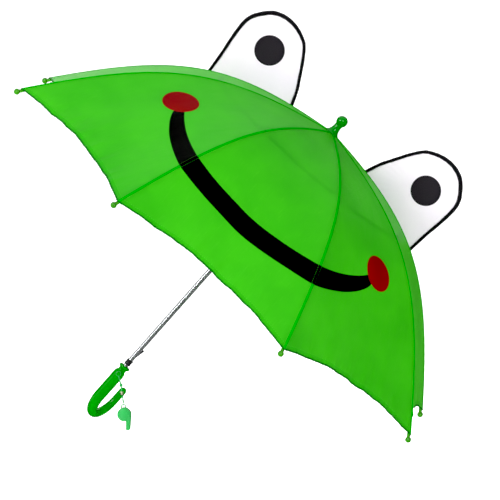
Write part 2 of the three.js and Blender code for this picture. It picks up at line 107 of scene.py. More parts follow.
def at(p):
    """A point in the umbrella's own frame, in mm, as one in the row's, in metres."""
    return APEX + leaned(p) * MM


def hung(p):
    """A point in mm from the whistle's pivot, along the row's axes, in metres."""
    return PIVOT + Vector(p) * MM


def outward(azimuth):
    """Away from the shaft, at an azimuth measured from the front towards +x."""
    return Vector((sin(azimuth), -cos(azimuth), 0))


def along(azimuth):
    """Around the shaft, towards larger azimuths."""
    return Vector((cos(azimuth), sin(azimuth), 0))


def rib_body(k, part="lower"):
    """The part of a rib above or below its elbow."""
    return f"rib_{'inner' if part == 'upper' else 'outer'}_{k}"


def rib_azimuth(k):
    return (k - 0.5) * 2 * HALF_GORE - pi


def gore_azimuth(k):
    return k * 2 * HALF_GORE - pi


# --- Mesh helpers
def linked(name, data):
    """A new object in the scene."""
    made = bpy.data.objects.new(name, data)
    bpy.context.scene.collection.objects.link(made)
    return made


def piece(name, points, faces, body, slot, look, place=at, uv=None, fields=None, normals=None):
    """A smooth mesh from points in mm, with its finish, riding on a body."""
    mesh = bpy.data.meshes.new(name)
    mesh.from_pydata([place(p) for p in points], [], faces)
    mesh.materials.append(look)
    mesh.polygons.foreach_set("use_smooth", [True] * len(mesh.polygons))
    if uv:
        layer = mesh.uv_layers.new(name="flat")
        for loop in mesh.loops:
            layer.data[loop.index].uv = uv[loop.vertex_index]
    for field, values in (fields or {}).items():
        mesh.attributes.new(field, "FLOAT", "POINT").data.foreach_set("value", values)
    if normals:
        mesh.normals_split_custom_set_from_vertices([leaned(n).normalized() for n in normals])
    made = linked(name, mesh)
    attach(made, body)
    return made


def grid_faces(columns, rows, wrap=False, flip=False):
    """Quads between rows of points; wrap joins each row's last point to its first."""
    faces = []
    width = columns if wrap else columns + 1
    for row in range(rows):
        for column in range(columns):
            right = (column + 1) % width
            a, b = row * width + column, row * width + right
            face = (a, b, b + width, a + width)
            faces.append(face[::-1] if flip else face)
    return faces


def closed_faces(columns, rows, flip=False):
    """Quads around a tube of points, with a cap on each end."""
    last = columns * rows
    caps = [tuple(range(columns)), tuple(reversed(range(last, last + columns)))]
    return grid_faces(columns, rows, wrap=True, flip=flip) + (caps if flip else [cap[::-1] for cap in caps])


def turns(count):
    """Even angles around a circle."""
    return [2 * pi * i / count for i in range(count)]


def square_to(axis):
    """Two unit directions that stand square to an axis and to each other."""
    side = axis.orthogonal().normalized()
    return side, axis.cross(side)


def swept(name, path, radii, body, slot, look, place=at, sides=20, shape=None):
    """A closed round bar along a path of points, with a radius at each; shape(turn, index) scales it."""
    points = []
    side = None
    for i, p in enumerate(path):
        ahead = (Vector(path[min(i + 1, len(path) - 1)]) - Vector(path[max(i - 1, 0)])).normalized()
        if side is None:
            side = ahead.orthogonal().normalized()
        side = (side - ahead * side.dot(ahead)).normalized()
        other = ahead.cross(side)
        for turn in turns(sides):
            reach = radii[i] * (shape(turn, i) if shape else 1)
            points.append(Vector(p) + (side * cos(turn) + other * sin(turn)) * reach)
    return piece(name, points, closed_faces(sides, len(path) - 1), body, slot, look, place)


THINNEST = 0.02


def turned(name, outline, base, axis, body, slot, look, place=at, sides=40):
    """A closed turned shape: the outline is (radius, distance along the axis) from its foot to its top."""
    axis = Vector(axis).normalized()
    side, other = square_to(axis)
    points = []
    for radius, rise in outline:
        for turn in turns(sides):
            spoke = (side * cos(turn) + other * sin(turn)) * max(radius, THINNEST)
            points.append(Vector(base) + axis * rise + spoke)
    return piece(name, points, closed_faces(sides, len(outline) - 1), body, slot, look, place)


def hoop(name, centre, axis, major, minor, body, slot, look, place=at, steps=40, sides=12):
    """A closed ring of round section."""
    axis = Vector(axis).normalized()
    side, other = square_to(axis)
    points = []
    for turn in turns(steps):
        spoke = side * cos(turn) + other * sin(turn)
        for roll in turns(sides):
            points.append(Vector(centre) + spoke * (major + minor * cos(roll)) + axis * minor * sin(roll))
    faces = []
    for i, j in ((i, j) for i in range(steps) for j in range(sides)):
        near, far, right = i * sides, (i + 1) % steps * sides, (j + 1) % sides
        faces.append((near + j, far + j, far + right, near + right))
    return piece(name, points, faces, body, slot, look, place)


def carve(made, cutters):
    """Cuts closed pieces, each (points in mm, faces, place), out of a closed piece."""
    for points, faces, place in cutters:
        mesh = bpy.data.meshes.new("cutter")
        mesh.from_pydata([place(p) for p in points], [], faces)
        tool = linked("cutter", mesh)
        cut = made.modifiers.new("cut", "BOOLEAN")
        cut.operation, cut.solver, cut.object = "DIFFERENCE", "EXACT", tool
        bpy.context.view_layer.update()
        result = bpy.data.meshes.new_from_object(made.evaluated_get(bpy.context.evaluated_depsgraph_get()))
        made.modifiers.clear()
        made.data = result
        bpy.data.objects.remove(tool)
    return made


def block(low, high, place):
    """A box between two corners, as a cutter."""
    points = [(x, y, z) for z in (low[2], high[2]) for y in (low[1], high[1]) for x in (low[0], high[0])]
    faces = [(0, 2, 3, 1), (4, 5, 7, 6), (0, 1, 5, 4), (2, 6, 7, 3), (0, 4, 6, 2), (1, 3, 7, 5)]
    return points, faces, place


DRUM_SIDES = 48


def drum(centre, radius, half, place):
    """A cylinder along y, as a cutter."""
    points = [(centre[0] + radius * cos(turn), y, centre[1] + radius * sin(turn))
              for y in (-half, half) for turn in turns(DRUM_SIDES)]
    return points, closed_faces(DRUM_SIDES, 1), place


SHARP_EDGE = radians(35)


def soften(made):
    """Smooth shading that keeps the sharp edges of a cut piece."""
    made.data.polygons.foreach_set("use_smooth", [True] * len(made.data.polygons))
    made.data.set_sharp_from_angle(angle=SHARP_EDGE)
    return made


def eased(a, b, c, d, t):
    """A Catmull-Rom curve through four values, a share t of the way from the second to the third."""
    cubic = (3 * b - a - 3 * c + d) * t ** 3
    return 0.5 * (2 * b + (c - a) * t + (2 * a - 5 * b + 4 * c - d) * t * t + cubic)


def smooth_line(stations, count):
    """A curve through the stations, each any number of values, at even parameters."""
    line = []
    spans = len(stations) - 1
    for i in range(count + 1):
        place_on = spans * i / count
        span = min(int(place_on), spans - 1)
        t = place_on - span
        near = [stations[max(0, min(spans, span + offset))] for offset in (-1, 0, 1, 2)]
        line.append(tuple(eased(*values, t) for values in zip(*near)))
    return line


# --- Node helpers
def paint(red, green, blue):
    """An sRGB colour of 0-255 values as a linear one."""
    shares = [value / 255 for value in (red, green, blue)]
    return tuple(v / 12.92 if v <= 0.04045 else ((v + 0.055) / 1.055) ** 2.4 for v in shares) + (1,)


class Look:
    """A material whose Principled shader is fed by nodes."""

    def __init__(self, name, **values):
        self.material = bpy.data.materials.new(name)
        self.material.use_nodes = True
        self.tree = self.material.node_tree
        self.shader = self.tree.nodes["Principled BSDF"]
        self.output = self.tree.nodes["Material Output"]
        for socket, value in values.items():
            self.shader.inputs[socket.replace("_", " ")].default_value = value

    def node(self, kind, **settings):
        made = self.tree.nodes.new(kind)
        for name, value in settings.items():
            setattr(made, name, value)
        return made

    def feed(self, socket, value):
        if isinstance(value, bpy.types.NodeSocket):
            self.tree.links.new(value, socket)
        else:
            socket.default_value = value

    def math(self, operation, first, second=0.0):
        made = self.node("ShaderNodeMath", operation=operation)
        for socket, value in zip(made.inputs, (first, second)):
            self.feed(socket, value)
        return made.outputs[0]

    def mix(self, share, first, second):
        made = self.node("ShaderNodeMix", data_type="RGBA")
        for name, value in (("Factor", share), ("A", first), ("B", second)):
            self.feed(made.inputs[name], value)
        return made.outputs["Result"]

    def field(self, name):
        return self.node("ShaderNodeAttribute", attribute_name=name).outputs["Fac"]

    def place(self, scale=(1, 1, 1), flat=False):
        """Object coordinates, or the cloth's flat ones, in metres, scaled along each axis."""
        source = self.node("ShaderNodeTexCoord").outputs["UV" if flat else "Object"]
        made = self.node("ShaderNodeMapping")
        made.inputs["Scale"].default_value = scale
        self.feed(made.inputs["Vector"], source)
        return made.outputs[0]

    def shaft_place(self, scale):
        """Object coordinates turned so that z runs along the shaft, each divided by a scale."""
        made = self.node("ShaderNodeMapping", vector_type="TEXTURE")
        made.inputs["Rotation"].default_value = (0, atan2(UP.x, UP.z), 0)
        made.inputs["Scale"].default_value = scale
        self.feed(made.inputs["Vector"], self.node("ShaderNodeTexCoord").outputs["Object"])
        return made.outputs[0]

    def noise(self, scale, detail=3.0, rough=0.5, place=None, twist=0.0):
        made = self.node("ShaderNodeTexNoise")
        self.feed(made.inputs["Vector"], place or self.place())
        values = {"Scale": scale, "Detail": detail, "Roughness": rough, "Distortion": twist}
        for socket, value in values.items():
            made.inputs[socket].default_value = value
        return made.outputs["Fac"]

    def span(self, value, low, high, to_low=0.0, to_high=1.0):
        """Takes a value from one range to another, smoothly and with its ends held."""
        made = self.node("ShaderNodeMapRange", interpolation_type="SMOOTHSTEP")
        for socket, number in zip(made.inputs[:5], (value, low, high, to_low, to_high)):
            self.feed(socket, number)
        return made.outputs[0]

    def ripple(self, value, wavelength):
        """A sine of the value, from -1 to 1."""
        return self.math("SINE", self.math("MULTIPLY", value, 2 * pi / wavelength))

    def bump(self, height, distance, strength=1.0, under=None):
        made = self.node("ShaderNodeBump")
        made.inputs["Strength"].default_value = strength
        made.inputs["Distance"].default_value = distance
        self.feed(made.inputs["Height"], height)
        if under:
            self.feed(made.inputs["Normal"], under)
        return made.outputs[0]

    def set(self, **links):
        for socket, value in links.items():
            self.feed(self.shader.inputs[socket.replace("_", " ")], value)


GREEN = (50, 175, 8)
DEEP_GREEN = (36, 160, 2)
GLOW_GREEN = (96, 204, 52)
SEAM_GREEN = (0, 160, 8)
INK, WORN_INK = (1, 1, 1), (4, 5, 4)
BLUSH, WORN_BLUSH = (138, 16, 6), (120, 2, 14)
FACE_FIELDS = ("lip_top", "lip_bottom", "lip_end", "cheek")
PATCHY = (0.3, 0.7)
# The cloth's details, in metres: widths of cloth edges, distances of stitches from them, and pitches.
SEAM_EDGE = (0.0010, 0.0022)
HEM_EDGE = (0.0075, 0.0100)
SEAM_STITCHES = 0.0026
HEM_STITCHES = 0.0082
PRINT_BLUR = 0.0004
STITCH = 0.0032
WEAVE = 0.0009


def stitch_row(look, length, gap, line):
    """Dashes along a length, where the gap to an edge comes to a line."""
    off_line = look.math("ABSOLUTE", look.math("SUBTRACT", gap, line))
    dashes = look.span(look.ripple(length, STITCH), -0.2, 0.2)
    return look.math("MULTIPLY", dashes, look.span(off_line, 0.0002, 0.0005, 1.0, 0.0))


def cloth_look(name, colour, deep, glow, thin, seam_colour=None, face=False, slip=0.44, gloss=0.24):
    """Thin woven nylon. deep is its folded colour, glow what passes through it, thin how much does."""
    look = Look(name)
    flat = look.node("ShaderNodeSeparateXYZ")
    look.feed(flat.inputs[0], look.node("ShaderNodeTexCoord").outputs["UV"])
    u, v = flat.outputs[0], flat.outputs[1]
    seam, hem = look.field("seam"), look.field("hem")
    patches = look.span(look.noise(9, 3, 0.55), *PATCHY)
    slubs = look.noise(60, 2, 0.6, look.place((9, 0.6, 1), flat=True))
    shade = look.mix(patches, colour, deep)
    shade = look.mix(look.math("MULTIPLY", look.span(slubs, 0.55, 0.75), 0.14), shade, glow)
    doubled = look.math(
        "MAXIMUM", look.span(seam, *SEAM_EDGE, 1.0, 0.0), look.span(hem, *HEM_EDGE, 0.25, 0.0))
    shade = look.mix(doubled, shade, seam_colour or deep)
    printed = 0.0
    if face:
        top, bottom, end, cheek = (
            look.span(look.field(edge), -PRINT_BLUR, PRINT_BLUR) for edge in FACE_FIELDS)
        mouth = look.math("MULTIPLY", look.math("MULTIPLY", top, bottom), end)
        shade = look.mix(mouth, shade, look.mix(patches, paint(*INK), paint(*WORN_INK)))
        shade = look.mix(cheek, shade, look.mix(patches, paint(*BLUSH), paint(*WORN_BLUSH)))
        printed = look.math("MAXIMUM", mouth, cheek)
    stitches = look.math(
        "MAXIMUM", stitch_row(look, v, seam, SEAM_STITCHES), stitch_row(look, u, hem, HEM_STITCHES))
    shade = look.mix(look.math("MULTIPLY", stitches, 0.55), shade, glow)
    weave = look.math("MULTIPLY", look.ripple(u, WEAVE), look.ripple(v, WEAVE))
    folds = look.noise(30, 3, 0.5, look.place((2.2, 0.5, 1), flat=True), 0.3)
    normal = look.bump(weave, 0.00006, 0.5)
    normal = look.bump(folds, 0.0014, 0.35, normal)
    normal = look.bump(stitches, 0.0003, 0.6, normal)
    rough = look.math("ADD", slip, look.math("MULTIPLY", slubs, 0.16))
    rough = look.math("ADD", rough, look.math("MULTIPLY", doubled, 0.3))
    matt = look.math("MAXIMUM", doubled, printed)
    shine = look.math("MULTIPLY", look.math("SUBTRACT", 1.0, look.math("MULTIPLY", matt, 0.7)), gloss)
    look.set(Base_Color=shade, Roughness=rough, Normal=normal, Specular_IOR_Level=shine)
    through = look.node("ShaderNodeBsdfTranslucent")
    look.feed(through.inputs["Color"], look.mix(matt, glow, shade))
    look.feed(through.inputs["Normal"], normal)
    both = look.node("ShaderNodeMixShader")
    share = look.math("MULTIPLY", look.math("SUBTRACT", 1.0, doubled), thin)
    look.feed(both.inputs[0], share)
    look.feed(both.inputs[1], look.shader.outputs[0])
    look.feed(both.inputs[2], through.outputs[0])
    look.feed(look.output.inputs["Surface"], both.outputs[0])
    return look.material


def plastic_look(name, colour, worn, rough=0.28, glow=0.0, coat=0.3):
    """Moulded plastic with faint flow marks and rubbed spots."""
    look = Look(name, Specular_IOR_Level=0.26, Coat_Weight=coat, Coat_Roughness=0.08, IOR=1.45)
    if glow:
        look.set(Subsurface_Weight=glow, Subsurface_Scale=0.004)
        look.shader.inputs["Subsurface Radius"].default_value = (0.4, 1.0, 0.4)
    flow = look.noise(40, 4, 0.55, look.place((1, 1, 0.35)), 0.8)
    rub = look.noise(420, 4, 0.6)
    shade = look.mix(look.span(flow, 0.35, 0.68), colour, worn)
    roughness = look.math("ADD", rough, look.math("MULTIPLY", look.span(rub, 0.5, 0.8), 0.1))
    normal = look.bump(rub, 0.000048, 0.12)
    look.set(Base_Color=shade, Roughness=roughness, Normal=look.bump(flow, 0.00024, 0.12, normal))
    return look.material


def metal_look(name, colour, dull, rough=0.16, metal=1.0, streak=1.0):
    """Plated or painted steel with fine drawn streaks and a few duller patches."""
    look = Look(name, Metallic=metal, Specular_IOR_Level=0.5)
    patch = look.noise(55, 4, 0.6, look.shaft_place((1, 1, streak)))
    lines = look.noise(700, 2, 0.6, look.shaft_place((1, 1, streak)))
    shade = look.mix(look.math("MULTIPLY", look.span(patch, 0.42, 0.72), 0.6), colour, dull)
    roughness = look.math("ADD", rough, look.math("MULTIPLY", look.span(patch, 0.4, 0.8), 0.2))
    look.set(Base_Color=shade, Roughness=roughness, Normal=look.bump(lines, 0.00004, 0.35))
    return look.material


def thread_look(name, colour, deep, pitch=0.0011, sheen=0.12):
    """Braided or sewn cord."""
    look = Look(name, Sheen_Weight=sheen, Sheen_Roughness=0.4, Specular_IOR_Level=0.2)
    where = look.node("ShaderNodeSeparateXYZ")
    look.feed(where.inputs[0], look.place())
    across = look.math("ADD", where.outputs[0], where.outputs[1])
    twill = look.math("MULTIPLY", look.ripple(look.math("ADD", across, where.outputs[2]), pitch),
                      look.ripple(look.math("SUBTRACT", where.outputs[2], across), pitch))
    fuzz = look.noise(900, 3, 0.6)
    shade = look.mix(look.span(twill, -0.6, 0.5), deep, colour)
    shade = look.mix(look.math("MULTIPLY", look.span(fuzz, 0.5, 0.75), 0.25), shade, colour)
    normal = look.bump(twill, 0.00025, 0.7)
    look.set(Base_Color=shade, Roughness=look.math("ADD", 0.55, look.math("MULTIPLY", fuzz, 0.3)),
             Normal=look.bump(fuzz, 0.0001, 0.4, normal))
    return look.material


greens = [paint(*green) for green in (GREEN, DEEP_GREEN, GLOW_GREEN)]
canopy_cloth = cloth_look("canopy_cloth", *greens, 0.15, paint(*SEAM_GREEN))
face_cloth = cloth_look("face_cloth", *greens, 0.06, paint(*SEAM_GREEN), face=True)
binding_cloth = thread_look("canopy_binding", paint(0, 128, 6), paint(0, 104, 2), 0.0012, 0.0)
# The eye cloth is white; its faint pink tint is painted to cancel the green light that the canopy throws on
# the eyes.
eye_white = cloth_look("eye_white", paint(254, 243, 255), paint(249, 238, 253), paint(255, 250, 255), 0.14)
eye_piping = thread_look("eye_piping", paint(30, 26, 32), paint(10, 8, 12), 0.0012)
pupil_satin = thread_look("pupil_satin", paint(54, 48, 56), paint(40, 34, 42), 0.0007)
handle_green = plastic_look("handle_green", paint(0, 136, 4), paint(0, 122, 2), 0.13, coat=0.04)
tip_green = plastic_look("tip_green", paint(60, 140, 28), paint(46, 122, 20), 0.2, coat=0.1)
ferrule_green = plastic_look("ferrule_green", paint(0, 132, 14), paint(0, 118, 10), 0.18, coat=0.1)
whistle_green = plastic_look(
    "whistle_green", paint(58, 170, 88), paint(40, 148, 68), 0.24, glow=0.06, coat=0.1)
black_plastic = plastic_look("black_plastic", paint(26, 26, 28), paint(38, 38, 40), 0.4, coat=0.05)
cord_green = thread_look("cord_green", paint(66, 184, 96), paint(22, 132, 56), 0.0012)
cork = thread_look("pea_cork", paint(196, 150, 104), paint(150, 106, 66), 0.0019)
chrome = metal_look("shaft_chrome", paint(222, 224, 228), paint(200, 202, 207), 0.16, 0.86, streak=25)
steel = metal_look("stretcher_steel", paint(206, 208, 210), paint(170, 172, 176), 0.26)
rib_black = metal_look("rib_black", paint(38, 38, 41), paint(58, 58, 61), 0.36, 0.55)
catch_black = metal_look("catch_black", paint(74, 74, 78), paint(52, 52, 56), 0.32, 0.8)
crimp = metal_look("crimp_metal", paint(226, 214, 196), paint(190, 178, 160), 0.28)

# What shows of the CAD itself.
NODE_LOOKS = {
    "top_catch": catch_black, "bottom_catch": catch_black, "stop_pin": catch_black, "crown_washer": steel,
    "crown_wheel": black_plastic, "runner": black_plastic, "rib_inner": rib_black, "rib_outer": rib_black,
    "stretcher": steel,
}
for name, node in frame["nodes"].items():
    look = NODE_LOOKS.get(name.rstrip("_12345678"))
    if look:
        node.data.materials.clear()
        node.data.materials.append(look)

# --- The cord and what hangs on it
CORD = 1.1
LOOP_CORD = 0.8
PEG = 1.8
LOOP = PEG + 0.35 + LOOP_CORD
CORD_STATIONS = [(0, -2.9), (1.6, -9), (3.3, -16), (4.4, -24), (5.6, -33), (6.9, -41.7)]
cord_line = [(x, 0, z) for x, z in smooth_line(CORD_STATIONS, 60)]


def twisted(turn, index):
    """Two strands wound around each other."""
    return 0.62 + 0.38 * abs(cos(turn - index * 0.42))


corded = ("whistle", "cord_green", cord_green, hung)
whistle_cord = swept("whistle_cord_line", cord_line, [CORD] * len(cord_line), *corded, 20, twisted)
cord_loop = hoop("whistle_cord_loop", (0, 0, 0), (0, 1, 0), LOOP, LOOP_CORD, *corded)
KNOT_X, KNOT_Z = 3.3, -16
KNOT_CORD = 0.85
KNOT_STEPS = 72
knot_line = []
for step in range(KNOT_STEPS + 1):
    lap = 2 * pi * step / KNOT_STEPS
    wide = 1.15 + 0.55 * cos(3 * lap)
    knot_line.append((KNOT_X + wide * cos(2 * lap), wide * sin(2 * lap), KNOT_Z + 1.5 * sin(3 * lap)))
cord_knot = swept("whistle_cord_knot", knot_line, [KNOT_CORD] * len(knot_line), *corded, 12)
BEAD = [(1.2, -2.4), (2.2, -2.4), (2.6, -2.0), (2.6, -0.5), (2.35, -0.15), (2.35, 0.15), (2.6, 0.5),
        (2.6, 2.0), (2.2, 2.4), (1.2, 2.4)]
BEAD_MIDDLE = (4.85, 0, -27.5)
BEAD_LEAN = radians(7)
bead = turned("cord_bead", BEAD, BEAD_MIDDLE, (-sin(BEAD_LEAN), 0, cos(BEAD_LEAN)), "whistle",
              "crimp_metal", crimp, hung)
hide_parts("crimp_bead")
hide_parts("whistle_cord")
WHISTLE_X, WHISTLE_Z, WHISTLE_RADIUS = 7.9, -56.6, 9.3
WHISTLE_WALL = 1.6
WHISTLE_HALF = 6.5
MOUTH_END = WHISTLE_Z - 22
ROUND_START, ROUND_TURN, ROUND_STEPS = -8, 293, 48
whistle_outline = []
for step in range(ROUND_STEPS + 1):
    turn = radians(ROUND_START + step * ROUND_TURN / ROUND_STEPS)
    whistle_outline.append((WHISTLE_X + WHISTLE_RADIUS * cos(turn), WHISTLE_Z + WHISTLE_RADIUS * sin(turn)))
whistle_outline += [
    (10.65, WHISTLE_Z - 9.6), (10.75, WHISTLE_Z - 11), (10.6, WHISTLE_Z - 16), (10.5, WHISTLE_Z - 20),
    (10.8, MOUTH_END + 0.8), (11.6, MOUTH_END + 0.1), (13.2, MOUTH_END), (15.0, MOUTH_END + 0.1),
    (15.8, MOUTH_END + 0.8), (16.2, WHISTLE_Z - 19), (16.6, WHISTLE_Z - 12), (16.95, WHISTLE_Z - 6),
]
# Across the whistle: (distance from its middle, inset from its outline), with the mould line at 0.
WHISTLE_SECTION = [(-WHISTLE_HALF, 0.9), (-6.35, 0.45), (-5.95, 0.1), (-5.4, 0), (-0.25, 0), (0, -0.12),
                   (0.25, 0), (5.4, 0), (5.95, 0.1), (6.35, 0.45), (WHISTLE_HALF, 0.9)]
whistle_points = []
for y, inset in WHISTLE_SECTION:
    for i, p in enumerate(whistle_outline):
        before, after = whistle_outline[i - 1], whistle_outline[(i + 1) % len(whistle_outline)]
        run = (Vector(after) - Vector(before)).normalized()
        x, z = p[0] - run.y * inset, p[1] + run.x * inset
        narrow = 1 - 0.2 * max(0.0, min(1.0, (WHISTLE_Z - 9 - z) / 10))
        whistle_points.append((x, y * narrow, z))
whistle_faces = closed_faces(len(whistle_outline), len(WHISTLE_SECTION) - 1)
moulded = ("whistle", "whistle_plastic", whistle_green, hung)
whistle = piece("whistle_shell", whistle_points, whistle_faces, *moulded)
# The chamber, the window over the pea, and the airway.
carve(whistle, [
    drum((WHISTLE_X, WHISTLE_Z), WHISTLE_RADIUS - WHISTLE_WALL, 4.9, hung),
    block((WHISTLE_X + 3.4, -3.9, WHISTLE_Z - 9.3), (WHISTLE_X + 12, 3.9, WHISTLE_Z - 6.4), hung),
    block((WHISTLE_X + 3.8, -3.7, MOUTH_END - 2), (WHISTLE_X + 6.6, 3.7, WHISTLE_Z - 5), hung),
])
soften(whistle)
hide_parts("whistle_body")
BAIL_MIDDLE = (WHISTLE_X - 1, 0, WHISTLE_Z + WHISTLE_RADIUS + 1.2)
bail = hoop("whistle_bail", BAIL_MIDDLE, (0, 1, 0), 3, 0.75, *moulded)
for face, y in (("front", -WHISTLE_HALF), ("back", WHISTLE_HALF)):
    hoop(f"whistle_rim_{face}", (WHISTLE_X, y, WHISTLE_Z), (0, 1, 0), 6.9, 0.35, *moulded)

PEA = 3
PEA_MIDDLE = (6.9, 0, -60.8)
PEA_ROWS = 14
pea = []
for row in range(PEA_ROWS + 1):
    rise = pi * row / PEA_ROWS - pi / 2
    pea.append((PEA * cos(rise), PEA * sin(rise)))
pea_ball = turned("pea_ball", pea, PEA_MIDDLE, (0, 0, 1), "whistle_pea", "pea_cork", cork, hung, 24)
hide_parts("whistle_pea")
cord_length = sum((hung(b) - hung(a)).length for a, b in zip(cord_line, cord_line[1:]))
hung(cord_line[0])
[hung(p) for p in cord_line]

# --- The cloth's shape
RIB_ARC = 458
CROWN_ARC = 3
ELBOW_ARC = 180
HEM_SCALLOP = 20
HEM_RIPPLE = 0.6
GORE_SAG = 0.02
HEM_PUCKER, HEM_REACH = 0.75, 70
BROAD_PUCKER, BROAD_REACH = 1.3, 240
GATHER, GATHER_REACH = 0.55, 46
MEAN_FALL, FALL_SWING = 28.5, 23
FALL_MIDDLE, FALL_SPREAD = 210, 145


def slope_at(arc):
    """How steeply the cloth falls at a distance along a rib from the apex."""
    return radians(MEAN_FALL + FALL_SWING * tanh((arc - FALL_MIDDLE) / FALL_SPREAD))


profile_points = [(0.0, 0.0)]
for arc in range(RIB_ARC + 12):
    slope = slope_at(arc + 0.5)
    profile_points.append((profile_points[-1][0] + cos(slope), profile_points[-1][1] - sin(slope)))


def profile(arc):
    """(distance from the shaft, height) of a rib's seam."""
    near = max(0, min(int(arc), len(profile_points) - 2))
    share = arc - near
    return tuple(a + (b - a) * share for a, b in zip(profile_points[near], profile_points[near + 1]))


def hem_arc(across):
    """Where the hem runs: across is -1 and 1 at a gore's two seams, and 0 at its middle."""
    ease = HEM_RIPPLE * sin(13 * across) * sin(5 * across + 1) * (1 - across ** 4)
    return RIB_ARC - HEM_SCALLOP * (1 - across * across) + ease


def half_width(arc):
    return profile(arc)[0] * sin(HALF_GORE)


def puckers(gore, arc, across):
    """Small standing folds that run in from the hem and fade towards the seams."""
    left = hem_arc(across) - arc
    near_hem = max(0.0, 1 - left / HEM_REACH) ** 2
    width = half_width(arc) * across
    inner = 1 - across ** 4
    wave = HEM_PUCKER * sin(width / 6.1 + 1.7 * gore) + 0.35 * sin(width / 2.7 + 2.9 * gore)
    broad = BROAD_PUCKER * sin(width / 19 + 0.8 * gore) * (max(0.0, 1 - left / BROAD_REACH) ** 2)
    gathers = GATHER * cos(5 * pi * across) * max(0.0, 1 - arc / GATHER_REACH) ** 2
    return inner * (near_hem * wave + broad) + gathers * min(1, arc / 9)


def cloth(gore, arc, across, lift=0.0):
    """A point on a gore, lift mm off its outer side."""
    radius, height = profile(arc)
    slope = slope_at(arc)
    half = radius * sin(HALF_GORE)
    rise = lift - GORE_SAG * 2 * half * (1 - across * across) + puckers(gore, arc, across)
    reach = radius * cos(HALF_GORE) + rise * sin(slope)
    turn = gore_azimuth(gore)
    return outward(turn) * reach + along(turn) * across * half + Vector((0, 0, height + rise * cos(slope)))


def cloth_normal(gore, arc, across):
    """The outward direction of the cloth."""
    step, tilt = 1.0, 0.01
    down = cloth(gore, arc + step, across) - cloth(gore, arc - step, across)
    side = cloth(gore, arc, min(1, across + tilt)) - cloth(gore, arc, max(-1, across - tilt))
    return down.cross(side).normalized()


# --- The face, by distance along a rib and azimuth from the front
LIP_STEP = 7.5
LIP_BOTTOM = (363, 360, 355, 348, 336, 320, 297, 262)
LIP_TOP = (330, 327.5, 323, 315.5, 306, 293, 276, 252)
LIP_END = 49
CHEEKS = {-1: (270, 50.6), 1: (264, 50.4)}
CHEEK_RADIUS = 25.4


def lip_edge(stations, degrees):
    """A smooth edge through stations LIP_STEP degrees apart, the same on both sides of the front."""
    place_on = min(degrees / LIP_STEP, len(stations) - 1.001)
    span = int(place_on)
    t = place_on - span
    near = (stations[min(abs(span + offset), len(stations) - 1)] for offset in (-1, 0, 1, 2))
    return eased(*near, t)


def face_fields(gore, arc, across, point):
    """How far inside each edge of the mouth and of the cheek a point lies, in metres."""
    turn = abs(atan2(point.x, -point.y))
    degrees = turn * 180 / pi
    cheek = cloth(*cheek_place(1 if point.x > 0 else -1))
    insides = (arc - lip_edge(LIP_TOP, degrees), lip_edge(LIP_BOTTOM, degrees) - arc,
               (radians(LIP_END) - turn) * hypot(point.x, point.y), CHEEK_RADIUS - (point - cheek).length)
    return {name: inside * MM for name, inside in zip(FACE_FIELDS, insides)}


def cheek_place(side):
    """(gore, arc, across) of a cheek's centre."""
    gore = 4 + side
    arc, degrees = CHEEKS[side]
    off = radians(degrees) * side - gore_azimuth(gore)
    return gore, arc, tan(off) / tan(HALF_GORE)


FACE_GORES = (3, 4, 5)
UPPER_SQUASH = (Vector((0.134, -0.8259, 0.5477)), -2.6)
LOWER_SQUASH = (Vector((0.3938, -0.7595, 0.5177)), 45.9)
ELBOW_LAP = 8
LAP_DEPTH = 0.45
LAP_TAPER = 14
LAP_START = 0.3
SEAM_ALLOWANCE = 6.5
SEAM_START = 0.6
HEM_SHORT = 0.6
UPPER_GRID, LOWER_GRID = (14, 30), (26, 46)


def fold_with_rib(obj, rib, side, squash):
    """Works out a point on the plane that a half gore folds to beside its closed rib, which isn't used, and
    gives the piece its own copy of its mesh.
    """
    normal, offset = squash
    turn = rib_azimuth(rib)
    axis = outward(turn) * normal.x + along(turn) * (-side * normal.y) + Vector((0, 0, normal.z))
    at(axis * offset)
    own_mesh(obj)


def cloth_fields(face):
    """Empty lists for what the cloth's finish needs to know at each point."""
    return {name: [] for name in ("seam", "hem") + (FACE_FIELDS if face else ())}


